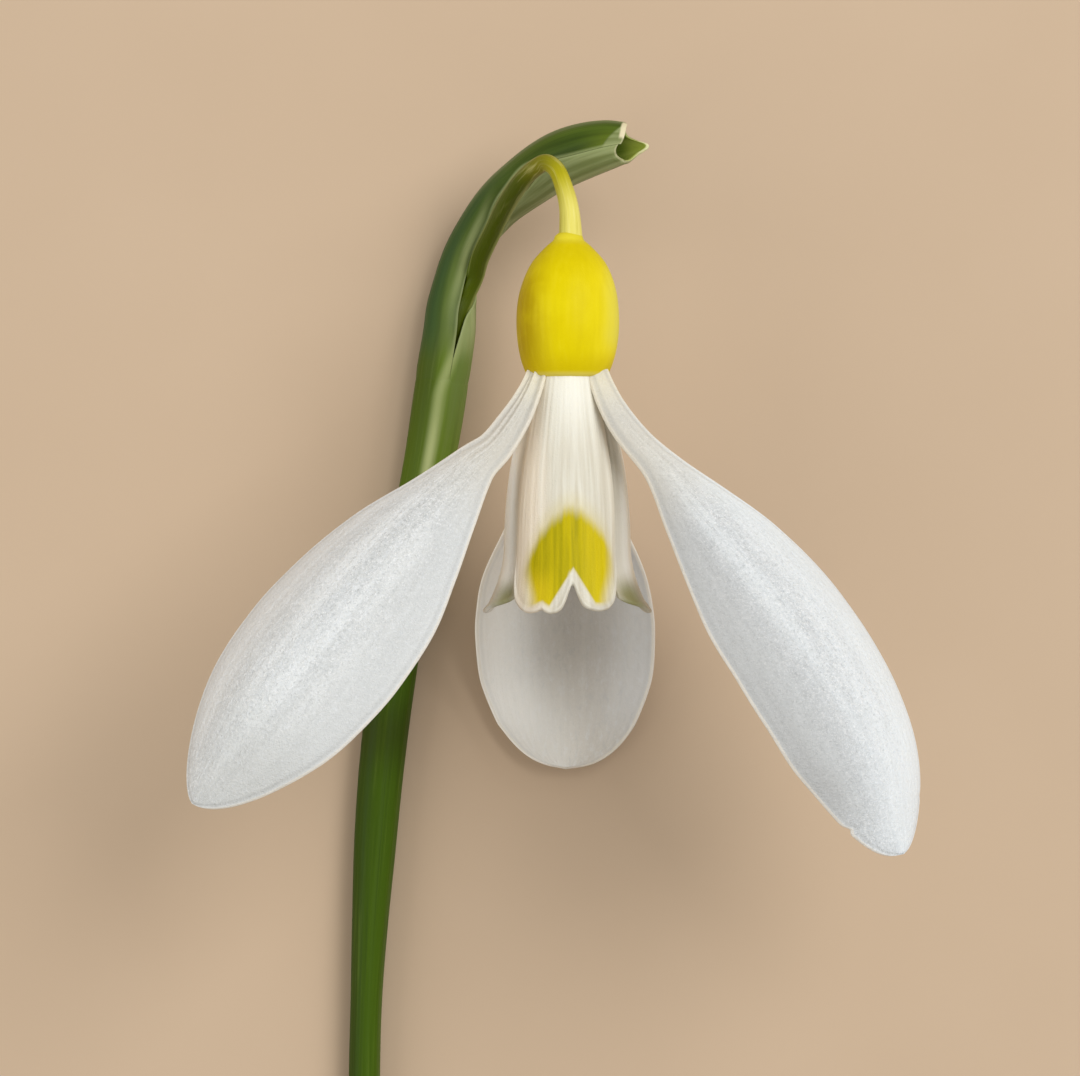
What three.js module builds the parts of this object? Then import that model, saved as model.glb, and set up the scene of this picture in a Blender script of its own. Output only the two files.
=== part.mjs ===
// A snowdrop flower, cut and laid on its side.
//
// Millimetres, +Z up. The flower is drawn around its own axis: the axis is the Y axis, the petals spring
// from the plane y = 0 and hang towards -Y, and the ovary sits on that plane towards +Y. The whole flower
// is then moved so that the middle of its lowest side is the origin and it lies on the plane z = 0.

import * as THREE from 'three';

// ---------------------------------------------------------------- driving dimensions

const GAP = 0.3; // clearance left where one organ grows out of the next
const AXIS_HEIGHT = 14; // flower axis above the surface the flower lies on

const SCAPE = { top: 1.35, foot: 0.85, topDepth: 1.3, footDepth: 0.95, joint: 1.0 };
const SPATHE = { root: 1.33, neck: 1.1, bend: 1.5, mouth: 1.08, wall: 0.35, slit: 52, slitTurn: 20 };
const PEDICEL = { root: 0.38, arch: 0.48, end: 0.6 };
const OVARY = { length: 6.8, radius: 2.57, base: 2.1, neck: 0.7 };
const OUTER_PETAL = { claw: 0.14, thickness: 0.45, edge: 0.2 };
const INNER_PETAL = { length: 12.05, thickness: 0.35, edge: 0.2, tuck: 0.78, turn: 4 };
const STAMEN = { count: 6, length: 6.2, filament: 0.11, anther: 0.36 };
const STYLE = { length: 8, radius: 0.2 };

const FLOOR = -AXIS_HEIGHT;

// ---------------------------------------------------------------- colours

const GREEN = 0x53602a;
const SHEATH_GREEN = 0x455327;
const STALK_YELLOW = 0xdcd069;
const OVARY_YELLOW = 0xf2df22;
const PETAL_WHITE = 0xdadad7;
const CUP_WHITE = 0xe6dfc8;
const ANTHER_ORANGE = 0xd9962a;
const STYLE_CREAM = 0xe4e0b8;

// ---------------------------------------------------------------- helpers

const radians = THREE.MathUtils.degToRad;

// A smooth function of u, from 0 to 1, that passes through evenly spaced values.
function along(values) {
  const line = new THREE.SplineCurve(values.map((value, i) => new THREE.Vector2(i, value)));
  return (u) => line.getPoint(u).y;
}

// A smooth path through points given as [x, y, z].
function path(points) {
  return new THREE.CatmullRomCurve3(points.map((point) => new THREE.Vector3(...point)));
}

// A place on a path with the two directions square to the path there: up, as near +Z as it can be,
// and side, to the right of someone who walks along the path.
function frameAt(curve, u) {
  const forward = curve.getTangentAt(u);
  const side = forward.clone().cross(new THREE.Vector3(0, 0, 1)).normalize();
  const up = side.clone().cross(forward);
  return { place: curve.getPointAt(u), side, up };
}

// A point that lies `out` along direction a and `over` along direction b from a place.
function offset(place, a, out, b, over) {
  return place.clone().addScaledVector(a, out).addScaledVector(b, over);
}

// Evenly spaced numbers from 0 to 1.
function steps(count) {
  return Array.from({ length: count + 1 }, (_, i) => i / count);
}

// Steps from 0 to 1 that crowd together near 1, where a petal's outline turns fastest.
function crowdedSteps(count) {
  return steps(count).map((t) => 1 - (1 - t) ** 1.5);
}

// One closed skin over a row of rings that have the same number of points, with a fan over each end.
function loft(rings) {
  const size = rings[0].length;
  const middle = (ring) =>
    ring.reduce((sum, point) => sum.add(point), new THREE.Vector3()).divideScalar(ring.length);
  const points = rings.flat().concat([middle(rings[0]), middle(rings.at(-1))]);
  const last = (rings.length - 1) * size;
  const firstHub = points.length - 2;
  const lastHub = points.length - 1;
  const faces = [];
  for (let i = 0; i < size; i += 1) {
    const next = (i + 1) % size;
    faces.push([firstHub, next, i], [lastHub, last + i, last + next]);
    for (let row = 0; row < last; row += size) {
      faces.push([row + i, row + next, row + size + next], [row + i, row + size + next, row + size + i]);
    }
  }
  return skin(points, faces);
}

// A geometry from points and triangles, turned right side out by the sign of its volume.
function skin(points, faces) {
  const volume = faces.reduce((sum, [a, b, c]) => {
    return sum + points[a].dot(points[b].clone().cross(points[c]));
  }, 0);
  const outward = volume < 0 ? faces.map(([a, b, c]) => [a, c, b]) : faces;
  const geometry = new THREE.BufferGeometry().setFromPoints(points);
  geometry.setIndex(outward.flat());
  geometry.computeVertexNormals();
  return geometry;
}

// An oval ring around a place, half as wide along side and half as deep along up as it is told.
function ovalRing({ place, side, up }, sides, halfWidth, halfDepth) {
  return steps(sides).slice(0, -1).map((t) => {
    const angle = 2 * Math.PI * t;
    return offset(place, side, halfWidth * Math.cos(angle), up, halfDepth * Math.sin(angle));
  });
}

// A round stalk along a path, with its radius as a function of u.
function stalk(curve, rows, sides, radius) {
  return loft(rows.map((u) => ovalRing(frameAt(curve, u), sides, radius(u), radius(u))));
}

const flower = new THREE.Group();

function add(name, geometry, color, roughness) {
  const material = new THREE.MeshStandardMaterial({ color, roughness, metalness: 0 });
  const mesh = new THREE.Mesh(geometry, material);
  mesh.name = name;
  flower.add(mesh);
}

// ---------------------------------------------------------------- scape, the flower stem

// It lies along the surface from its cut end to the foot of the spathe, and thickens on the way.
function addScape() {
  const curve = path([
    [-10.4, -52, FLOOR],
    [-10.6, -36, FLOOR],
    [-10.1, -25.2, FLOOR],
    [-9.5, -18.5, FLOOR],
    [-8.2, -9.5, FLOOR],
    [-7.0, -3.2, FLOOR],
    [-6.4, SCAPE.joint, FLOOR],
  ]);
  const width = along([SCAPE.foot, 0.83, 0.82, 1.09, 1.18, 1.27, SCAPE.top]);
  const depth = along([SCAPE.footDepth, 0.95, 1.05, 1.18, 1.22, 1.27, SCAPE.topDepth]);
  const rings = steps(20).map((u) => {
    const frame = frameAt(curve, u);
    frame.place.z += depth(u);
    return ovalRing(frame, 12, width(u), depth(u));
  });
  add('scape', loft(rings), GREEN, 0.45);
}

// ---------------------------------------------------------------- spathe, the split sheath

// A shell bent over like a shepherd's crook. It is open along its front, where the pedicel leaves it,
// and at its mouth, where its two bracts end in two tips.
function addSpathe() {
  const curve = path([
    [-6.3, SCAPE.joint + 1.3 * GAP, FLOOR + SPATHE.root],
    [-6.0, 4.1, FLOOR + SPATHE.neck],
    [-5.4, 6.3, FLOOR + 1.5],
    [-4.25, 8.1, FLOOR + 2.7],
    [-2.0, 10.2, FLOOR + 5.3],
    [0.7, 11.5, FLOOR + 7.6],
    [3.95, 12.0, FLOOR + 9.0],
  ]);
  const radius = along([SPATHE.root, SPATHE.neck, SPATHE.neck, 1.35, SPATHE.bend, 1.42, SPATHE.mouth]);
  const slit = (u) => SPATHE.slit * (0.2 + 0.8 * THREE.MathUtils.smoothstep(u, 0, 0.09));
  const rows = steps(14);
  const rings = rows.map((u) => {
    const outer = [];
    const inner = [];
    for (const t of steps(14)) {
      const half = radians(slit(u));
      const angle = radians(SPATHE.slitTurn) + half + t * 2 * (Math.PI - half);
      const reach = u * mouthReach(angle);
      const { place, side, up } = frameAt(curve, reach);
      const out = radius(reach);
      const direction = offset(new THREE.Vector3(), up, Math.cos(angle), side, Math.sin(angle));
      outer.push(place.clone().addScaledVector(direction, out));
      inner.unshift(place.clone().addScaledVector(direction, out - SPATHE.wall));
    }
    return outer.concat(inner);
  });
  add('spathe', loft(rings), SHEATH_GREEN, 0.4);
}

// How far along the path the spathe reaches at an angle around it: furthest at the lower bract's tip,
// nearly as far at the upper bract's tip, and least at the mouth's two notches between them.
function mouthReach(angle) {
  const towardsTips = Math.abs(Math.sin(angle)) ** 3;
  const tip = Math.sin(angle) > 0 ? 1 : 0.955;
  return 0.9 + (tip - 0.9) * towardsTips;
}

// ---------------------------------------------------------------- pedicel, the flower's stalk

// It starts inside the spathe, leaves it through the slit, rises and arches over to the ovary.
function addPedicel() {
  const curve = path([
    [-6.15, SCAPE.joint + 1.2, FLOOR + 1.5],
    [-5.6, 3.9, FLOOR + 2.5],
    [-5.1, 5.4, FLOOR + 4.0],
    [-4.15, 7.3, FLOOR + 6.5],
    [-2.7, 9.4, FLOOR + 9.5],
    [-1.2, 10.6, FLOOR + 11.7],
    [-0.3, 9.9, FLOOR + 12.9],
    [0.05, 8.4, FLOOR + 13.85],
    [0.1, OVARY.length + GAP, 0],
  ]);
  const radius = along([PEDICEL.root, 0.47, 0.56, 0.52, PEDICEL.arch, PEDICEL.arch, 0.55, PEDICEL.end]);
  add('pedicel', stalk(curve, steps(18), 10, radius), STALK_YELLOW, 0.4);
}

// ---------------------------------------------------------------- ovary

// An egg with a flat foot, where the petals spring, and a small collar where the pedicel joins it.
function addOvary() {
  const outline = new THREE.SplineCurve([
    new THREE.Vector2(OVARY.base, 0),
    new THREE.Vector2(2.42, 1.0),
    new THREE.Vector2(OVARY.radius, 2.4),
    new THREE.Vector2(2.42, 4.0),
    new THREE.Vector2(1.9, 5.4),
    new THREE.Vector2(1.05, 6.4),
    new THREE.Vector2(OVARY.neck, OVARY.length),
  ]).getPoints(14);
  const foot = new THREE.Vector2(0, 0);
  const top = new THREE.Vector2(0, OVARY.length);
  add('ovary', new THREE.LatheGeometry([foot, ...outline, top], 24), OVARY_YELLOW, 0.3);
}

// ---------------------------------------------------------------- outer petals

// Half-width of a spoon-shaped blade on a narrow claw, as a share of its greatest half-width.
function bladeShare(u, bluntness) {
  const shoulder = 0.62;
  const neck = 0.14;
  const claw = OUTER_PETAL.claw + 0.08 * Math.min(u / neck, 1);
  if (u > shoulder) {
    return Math.max((1 - ((u - shoulder) / (1 - shoulder)) ** 2) ** bluntness, 0.04);
  }
  const rise = Math.max((u - neck) / (shoulder - neck), 0);
  return claw + (1 - claw) * Math.sin(rise * Math.PI / 2) ** 1.3;
}

// A petal that follows a path. Its outer face looks towards +Z, tilted from there by an angle in degrees
// as a function of u, and its section is an arc that cups away from that face.
function addOuterPetal(name, points, tilt, cup, halfWidth, bluntness) {
  const curve = path(points);
  const across = steps(10);
  const rings = crowdedSteps(18).map((u) => {
    const { place, side, up } = frameAt(curve, u);
    const turn = radians(tilt(u));
    const face = offset(new THREE.Vector3(), up, Math.cos(turn), side, Math.sin(turn));
    const wide = offset(new THREE.Vector3(), up, -Math.sin(turn), side, Math.cos(turn));
    const bend = radians(cup(u));
    const radius = halfWidth * bladeShare(u, bluntness) / bend;
    const outer = [];
    const inner = [];
    for (const t of across) {
      const v = 2 * t - 1;
      const normal = offset(new THREE.Vector3(), face, Math.cos(bend * v), wide, Math.sin(bend * v));
      const thickness = OUTER_PETAL.thickness + (OUTER_PETAL.edge - OUTER_PETAL.thickness) * v ** 4;
      const skinPoint = offset(place, face, -radius, normal, radius);
      outer.push(skinPoint);
      inner.unshift(skinPoint.clone().addScaledVector(normal, -thickness));
    }
    return outer.concat(inner);
  });
  add(name, loft(rings), PETAL_WHITE, 0.6);
}

function addOuterPetals() {
  addOuterPetal('outer_petal_left', [
    [-1.75, -GAP, 1.2],
    [-2.6, -2.4, 2.15],
    [-4.75, -4.6, 3.1],
    [-8.35, -8.35, 4.7],
    [-11.75, -12.3, 5.7],
    [-15.15, -16.65, 5.8],
    [-18.15, -21.2, 4.8],
  ], along([60, 45, 32, 30, 30]), along([24, 30, 38, 38, 26]), 5.15, 0.57);
  addOuterPetal('outer_petal_right', [
    [1.65, -GAP, 1.25],
    [2.65, -2.3, 2.3],
    [4.85, -4.75, 3.1],
    [8.7, -8.7, 4.7],
    [12.2, -13.0, 5.7],
    [14.95, -17.9, 5.8],
    [16.5, -23.75, 4.8],
  ], along([-60, -50, -43, -43, -42]), along([24, 30, 38, 38, 26]), 5.2, 0.6);
  addOuterPetal('outer_petal_back', [
    [0, -GAP, -2.05],
    [-0.05, -2.5, -3.6],
    [-0.1, -5.0, -5.9],
    [-0.1, -8.0, -9.0],
    [-0.05, -12.0, -12.3],
    [0.05, -15.8, FLOOR],
    [0.05, -18.6, -13.6],
    [0, -20.3, -12.4],
  ], along([180, 180, 180, 180, 180]), along([24, 30, 38, 38, 26]), 5.15, 0.42);
}

// ---------------------------------------------------------------- inner petals

const cupRadius = along([1.32, 1.78, 2.2, 2.6, 2.84, 2.97, 3.05, 3.1, 3.15, 3.2, 3.25]);
const tuckAlong = along([0, 0.45, 0.95, 1, 1, 1, 1, 1, 1, 1, 1]);

// Length of an inner petal at a place v, from -1 to 1 across it: two round lobes and a notch between.
function innerLength(v) {
  const notch = 1.5 * Math.max(1 - Math.abs(v) / 0.24, 0) ** 1.2;
  const corner = 1.3 * (Math.max(Math.abs(v) - 0.55, 0) / 0.45) ** 2;
  return INNER_PETAL.length - notch - corner;
}

// A petal of the cup, between two angles around the flower's axis (0 faces +Z, positive towards +X).
// near and far give those angles as functions of u; tucked edges slip under the front petal.
function addInnerPetal(name, near, far, flare, tucked) {
  const rings = steps(10).map((u) => {
    const outer = [];
    const inner = [];
    for (const t of steps(16)) {
      const v = 2 * t - 1;
      const turn = near(u) + (far(u) - near(u)) * t;
      const angle = radians(turn + INNER_PETAL.turn);
      const y = -GAP - u * (innerLength(v) - GAP);
      const down = -y / INNER_PETAL.length;
      const under = tucked ? THREE.MathUtils.smoothstep(84 - Math.abs(turn), 0, 20) : 0;
      const lip = flare * Math.max((down - 0.72) / 0.28, 0) ** 2;
      const radius = cupRadius(down) + lip - INNER_PETAL.tuck * tuckAlong(down) * under;
      const thickness = INNER_PETAL.thickness + (INNER_PETAL.edge - INNER_PETAL.thickness) * v ** 4;
      outer.push(aroundAxis(angle, radius, y));
      inner.unshift(aroundAxis(angle, radius - thickness, y));
    }
    return outer.concat(inner);
  });
  add(name, loft(rings), CUP_WHITE, 0.6);
}

function aroundAxis(angle, radius, y) {
  return new THREE.Vector3(radius * Math.sin(angle), y, radius * Math.cos(angle));
}

function addInnerPetals() {
  const frontSpan = along([50, 60, 66, 66, 64]);
  const sideEdge = along([70, 64, 62, 62, 62]);
  const rearEdge = along([168, 173, 175, 175, 175]);
  addInnerPetal('inner_petal_front', (u) => -frontSpan(u), frontSpan, 0.25, false);
  addInnerPetal('inner_petal_back_right', sideEdge, rearEdge, 0.95, true);
  addInnerPetal('inner_petal_back_left', (u) => -rearEdge(u), (u) => -sideEdge(u), 0.95, true);
}

// ---------------------------------------------------------------- stamens and style

// Six pointed anthers on short filaments lean together around the style.
function addStamens() {
  const { count, length, filament, anther } = STAMEN;
  const radius = along([filament, filament, anther, anther, 0.3, 0.22, 0.14, 0.05]);
  for (let i = 0; i < count; i += 1) {
    const angle = 2 * Math.PI * (i + 0.5) / count;
    const curve = path([
      aroundAxis(angle, 0.62, -GAP).toArray(),
      aroundAxis(angle, 1.02, -1.7).toArray(),
      aroundAxis(angle, 0.88, -4).toArray(),
      aroundAxis(angle, 0.52, -GAP - length).toArray(),
    ]);
    add(`stamen_${i + 1}`, stalk(curve, steps(9), 8, radius), ANTHER_ORANGE, 0.6);
  }
}

function addStyle() {
  const { length, radius } = STYLE;
  const outline = [[0, 0], [radius, 0], [radius, -0.8 * length], [0.6 * radius, -0.97 * length], [0, -length]];
  const points = outline.map(([r, y]) => new THREE.Vector2(r, y - GAP)).reverse();
  add('style', new THREE.LatheGeometry(points, 8), STYLE_CREAM, 0.5);
}

// ---------------------------------------------------------------- the whole flower

addScape();
addSpathe();
addPedicel();
addOvary();
addOuterPetals();
addInnerPetals();
addStamens();
addStyle();

// Stand the model's own origin at the middle of the lowest side of its box.
const box = new THREE.Box3().setFromObject(flower);
const centre = box.getCenter(new THREE.Vector3());
flower.position.set(-centre.x, -centre.y, -box.min.z);

export default flower;
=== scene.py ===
# %% [markdown]
# # A snowdrop, cut and laid on its side
#
# The flower hangs from a hooked stalk: a green stem, a split green sheath, a yellow seed case with its
# thread-like stalk, three long white petals and, inside them, a short fluted cup of three more. This
# lesson skins each of those parts around the fixed CAD model, one step at a time. The model comes first,
# because every place used below is read from it.

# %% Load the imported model
import math

import bmesh
import bpy
import numpy as np
from mathutils import Matrix, Vector


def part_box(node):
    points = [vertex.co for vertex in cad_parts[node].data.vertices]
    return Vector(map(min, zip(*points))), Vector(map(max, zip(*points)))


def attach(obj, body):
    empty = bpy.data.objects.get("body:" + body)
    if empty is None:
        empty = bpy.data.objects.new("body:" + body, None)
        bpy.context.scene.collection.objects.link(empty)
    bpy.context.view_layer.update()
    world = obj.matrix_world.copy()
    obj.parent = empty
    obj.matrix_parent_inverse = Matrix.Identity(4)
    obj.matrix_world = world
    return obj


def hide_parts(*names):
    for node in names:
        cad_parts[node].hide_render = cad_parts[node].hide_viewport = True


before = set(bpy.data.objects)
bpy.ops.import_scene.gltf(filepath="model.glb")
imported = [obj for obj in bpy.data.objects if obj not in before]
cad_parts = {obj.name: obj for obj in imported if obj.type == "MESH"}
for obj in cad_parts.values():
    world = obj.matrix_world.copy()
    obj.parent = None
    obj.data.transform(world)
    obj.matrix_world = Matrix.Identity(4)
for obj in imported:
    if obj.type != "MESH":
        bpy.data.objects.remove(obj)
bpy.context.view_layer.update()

MM = 1000.0  # millimetres in a metre

# %% [markdown]
# ## The flower's own axes
#
# A flower is easiest to draw around its own axis. Here the axis is Y, in millimetres: the petals spring
# from y = 0 and hang towards -Y, the seed case stands on that plane towards +Y, and +Z is up from the
# surface the flower lies on. The flat foot of the CAD seed case says where that plane is, and one matrix
# takes every finished mesh from there to the model's place, in metres.

# %% From flower millimetres to the model's metres
ovary_low, ovary_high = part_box("ovary")
foot = Vector(((ovary_low.x + ovary_high.x) / 2, ovary_low.y, (ovary_low.z + ovary_high.z) / 2))
to_model = Matrix.Translation(foot) @ Matrix.Scale(1 / MM, 4)
floor_z = -MM * foot.z
print(f"petals spring from {tuple(round(MM * v, 2) for v in foot)} mm; the surface is at z = {floor_z:.2f}")

# %% [markdown]
# ## Camera, light and surface
#
# The flower lies face up, so the camera looks straight down on it. A long lens, some 25 cm away, keeps the
# petals' true proportions. A broad soft light stands to the upper right, a wider and weaker one fills in
# from the left, and the world adds an even glow, as white tissue around a table top would.

# %% Camera
scene = bpy.context.scene
scene.view_settings.view_transform = "Standard"


def stand(name, data, place, look_at=None):
    """Puts a camera or a light at a place in flower millimetres, looking down or at another place."""
    thing = bpy.data.objects.new(name, data)
    scene.collection.objects.link(thing)
    thing.location = to_model @ Vector(place)
    if look_at is not None:
        thing.rotation_euler = (Vector(look_at) - Vector(place)).to_track_quat("-Z", "Y").to_euler()
    return thing


lens = bpy.data.cameras.new("camera")
lens.lens = 166.67
lens.sensor_width = 36
lens.clip_start = 0.01
scene.camera = stand("camera", lens, (-1.365, -8.3, 250))

# %% Lights


def soft_light(name, place, size, watts, colour):
    """A square lamp that faces the middle of the flower."""
    lamp = bpy.data.lights.new(name, "AREA")
    lamp.size = size
    lamp.energy = watts
    lamp.color = colour
    return stand(name, lamp, place, look_at=(0, -10, -8))


soft_light("key_light", (230, 155, 390), 0.28, 1.6, (0.985, 0.99, 1.0))
soft_light("fill_light", (-420, -40, 260), 0.50, 0.9, (1.0, 0.99, 0.97))
world = bpy.data.worlds.new("soft_room")
world.use_nodes = True
world.node_tree.nodes["Background"].inputs["Color"].default_value = (1.0, 0.99, 0.97, 1)
world.node_tree.nodes["Background"].inputs["Strength"].default_value = 0.52
scene.world = world

# %% [markdown]
# ## A small tool for node trees
#
# Materials and Geometry Nodes are both node trees, and both are easier to read as sums than as boxes and
# wires. `Value` wraps one output socket, and its operators add the Math or Vector Math node that works
# them out. `Board.node` makes any other node: its kind, then its settings, then its sockets' values.

# %% Values that can be used in sums


def maths(operation):
    """A method that adds one node for an operation."""
    return lambda self, *others: self.sum(operation, self, *others)


class Value:
    """A node's output. Sums with it add Math nodes, or Vector Math nodes where a vector is involved."""

    def __init__(self, board, socket):
        self.board = board
        self.socket = socket
        self.is_vector = socket.type == "VECTOR"

    def of(self, name):
        """Another output of the same node."""
        return Value(self.board, self.socket.node.outputs[name])

    def sum(self, operation, *values):
        vectors = any(isinstance(value, Value) and value.is_vector for value in values)
        kind = "ShaderNodeVectorMath" if vectors else "ShaderNodeMath"
        return self.board.node(kind, {"operation": operation}, dict(enumerate(values)))

    def scaled(self, share):
        return self.board.node("ShaderNodeVectorMath", {"operation": "SCALE"}, {0: self, "Scale": share})

    def __mul__(self, other):
        other_is_vector = isinstance(other, tuple) or (isinstance(other, Value) and other.is_vector)
        if self.is_vector and not other_is_vector:
            return self.scaled(other)
        if other_is_vector and not self.is_vector:
            return other.scaled(self)
        return self.sum("MULTIPLY", self, other)

    def __rsub__(self, other):
        return self.sum("SUBTRACT", other, self)

    def __rtruediv__(self, other):
        return self.sum("DIVIDE", other, self)

    def __neg__(self):
        return self * -1

    __add__ = __radd__ = maths("ADD")
    __rmul__ = __mul__
    __sub__ = maths("SUBTRACT")
    __truediv__ = maths("DIVIDE")
    __pow__ = maths("POWER")
    at_least = maths("MAXIMUM")
    at_most = maths("MINIMUM")
    above = maths("GREATER_THAN")
    size = maths("ABSOLUTE")
    sign = maths("SIGN")
    sine = maths("SINE")
    cosine = maths("COSINE")
    cross = maths("CROSS_PRODUCT")
    unit = maths("NORMALIZE")

    def ramp(self, start, end):
        """0 before start and 1 after end, and smooth between them."""
        sockets = {"Value": self, "From Min": start, "From Max": end}
        return self.board.node("ShaderNodeMapRange", {"interpolation_type": "SMOOTHSTEP"}, sockets)

    def bump_at(self, middle, width):
        """A smooth hump, 1 at the middle and gone at that width to each side."""
        return (self - middle).size().ramp(width, 0)

    def curve(self, *points):
        """A value read from a smooth curve through points from (0, ...) to (1, ...)."""
        return self.board.node("ShaderNodeFloatCurve", {"curve": points}, {"Value": self})


# %% The board that the nodes are made on


def set_curve(mapping, points):
    line = mapping.curves[0].points
    for _ in points[2:]:
        line.new(0.5, 0.5)
    for spot, place in zip(line, points):
        spot.location = place
    mapping.update()


class Board:
    """A node tree, and the one method that adds nodes to it."""

    def __init__(self, tree):
        self.tree = tree

    def node(self, kind, settings=None, sockets=None, out=None):
        node = self.tree.nodes.new(kind)
        for name, value in (settings or {}).items():
            if name == "curve":
                set_curve(node.mapping, value)
            else:
                setattr(node, name, value)
        for name, value in (sockets or {}).items():
            if isinstance(value, Value):
                self.tree.links.new(value.socket, node.inputs[name])
            else:
                node.inputs[name].default_value = value
        if not node.outputs:
            return node
        shown = [socket for socket in node.outputs if socket.enabled]
        return Value(self, node.outputs[out] if out is not None else shown[0])

    def vector(self, x=0.0, y=0.0, z=0.0):
        return self.node("ShaderNodeCombineXYZ", sockets={"X": x, "Y": y, "Z": z})

    def split(self, vector):
        parts = self.node("ShaderNodeSeparateXYZ", sockets={"Vector": vector})
        return parts, parts.of("Y"), parts.of("Z")

    def noise(self, place, scale=1.0, detail=2.0, roughness=0.5):
        """Soft random values around 0.5, at a place given as a vector or as three values."""
        place = self.vector(*place) if isinstance(place, tuple) else place
        sockets = {"Vector": place, "Scale": scale, "Detail": detail, "Roughness": roughness}
        return self.node("ShaderNodeTexNoise", sockets=sockets)


# %% [markdown]
# ## Numbers for natural shapes
#
# Almost every part here is a sheet or a stalk that follows a smooth path, with a width, a depth or an
# angle that changes on the way. A few given values are enough for each, because a spline fills in the
# rest. `along` makes a smooth function from evenly spaced values, and `smooth_path` makes an evenly
# spaced row of places on a curve through a few points. A skeleton is that row as a bare line of edges
# which carries the numbers with it, and a Geometry Nodes tree then grows the flesh on it.

# %% Smooth functions and paths
SAMPLES = 500  # places on the skeleton of a petal or the sheath, and in a row of values across one
FINE_STEPS = 80  # between two points of a path, before its places are spaced evenly


def along(*values):
    """A smooth function of u, from 0 to 1, that passes through evenly spaced values."""
    knots = np.array([values[0], *values, values[-1]], float)

    def line(u):
        place = np.clip(u, 0, 1) * (len(values) - 1)
        first = np.minimum(place.astype(int), len(values) - 2)
        t = place - first
        a, b, c, d = (knots[first + i] for i in range(4))
        return b + t / 2 * (c - a + t * (2 * a - 5 * b + 4 * c - d + t * (3 * (b - c) + d - a)))

    return line


def smooth_path(points, count):
    """Places, evenly spaced, on a smooth curve through a few points (a centripetal Catmull-Rom)."""
    p = np.array(points, float)
    p = np.vstack([2 * p[0] - p[1], p, 2 * p[-1] - p[-2]])
    s = np.linspace(0, 1, FINE_STEPS, endpoint=False)[:, None]
    fine = []
    for a, b, c, d in zip(p, p[1:], p[2:], p[3:]):
        before, here, after = (np.linalg.norm(y - x) ** 0.5 for x, y in ((a, b), (b, c), (c, d)))
        leave = here * ((b - a) / before - (c - a) / (before + here) + (c - b) / here)
        arrive = here * ((c - b) / here - (d - b) / (here + after) + (d - c) / after)
        bend = 3 * (c - b) - 2 * leave - arrive
        fine.append(b + s * (leave + s * (bend + s * (leave + arrive - 2 * (c - b)))))
    fine = np.vstack([*fine, p[-2:-1]])
    walked = np.concatenate([[0], np.cumsum(np.linalg.norm(np.diff(fine, axis=0), axis=1))])
    even = np.linspace(0, walked[-1], count)
    return np.stack([np.interp(even, walked, fine[:, i]) for i in range(3)], axis=1)


def path_above_floor(points, count):
    """A smooth path whose heights are measured from the surface."""
    return smooth_path(points, count) + (0, 0, floor_z)


def profile(*pairs):
    """A smooth row of values across a sheet, from -1 to 1, through (place, value) pairs."""
    line = smooth_path([(place, value, 0) for place, value in pairs], 4 * SAMPLES)
    return np.interp(np.linspace(-1, 1, SAMPLES), line[:, 0], line[:, 1])


def ease(value, start, end):
    """0 at start and 1 at end, and smooth between them."""
    t = np.clip((value - start) / (end - start), 0, 1)
    return t * t * (3 - 2 * t)


def skeleton(name, places, **numbers):
    """A bare line of edges through places, whose points carry numbers."""
    mesh = bpy.data.meshes.new(name + "_skeleton")
    mesh.from_pydata(places.tolist(), [(i, i + 1) for i in range(len(places) - 1)], [])
    for key, values in numbers.items():
        held = mesh.attributes.new(key, "FLOAT", "POINT")
        held.data.foreach_set("value", np.broadcast_to(values, len(places)).astype(np.float32))
    return mesh


# %% [markdown]
# ## Growing trees
#
# Each Geometry Nodes tree starts from a closed rod. Its points remember how far along they are, how far
# across, from -1 to 1, and on which face, before a formula moves them to their place. A rod has no open
# edge or loose seam, so a petal made from one is a solid with rounded rims and needs no repair.

# %% What the trees have in common


def new_tree(name, **inputs):
    """A Geometry Nodes tree with named inputs, given as their first values."""
    tree = bpy.data.node_groups.new(name, "GeometryNodeTree")
    kinds = {float: "NodeSocketFloat", int: "NodeSocketInt"}
    tree.interface.new_socket("Skeleton", in_out="INPUT", socket_type="NodeSocketGeometry")
    for label, value in inputs.items():
        item = tree.interface.new_socket(label, in_out="INPUT", socket_type=kinds[type(value)])
        item.default_value = value
    tree.interface.new_socket("Material", in_out="INPUT", socket_type="NodeSocketMaterial")
    tree.interface.new_socket("Flesh", in_out="OUTPUT", socket_type="NodeSocketGeometry")
    board = Board(tree)
    source = tree.nodes.new("NodeGroupInput")
    board.inputs = {socket.name: Value(board, socket) for socket in source.outputs if socket.name}
    return board


def close_tree(board, geometry):
    """Smooth shading, then Realize Instances and Set Material, which every tree here ends in."""
    geometry = board.node("GeometryNodeSetShadeSmooth", sockets={"Geometry": geometry})
    geometry = board.node("GeometryNodeRealizeInstances", sockets={"Geometry": geometry})
    painted = {"Geometry": geometry, "Material": board.inputs["Material"]}
    geometry = board.node("GeometryNodeSetMaterial", sockets=painted)
    board.node("NodeGroupOutput", sockets={"Flesh": geometry})


def keep(board, geometry, **fields):
    """Stores named numbers on the points, for later nodes and for the materials."""
    for name, value in fields.items():
        sockets = {"Geometry": geometry, "Name": name, "Value": value}
        geometry = board.node("GeometryNodeStoreNamedAttribute", {"data_type": "FLOAT"}, sockets)
    return geometry


def kept(board, name):
    return board.node("GeometryNodeInputNamedAttribute", {"data_type": "FLOAT"}, {"Name": name})


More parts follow.
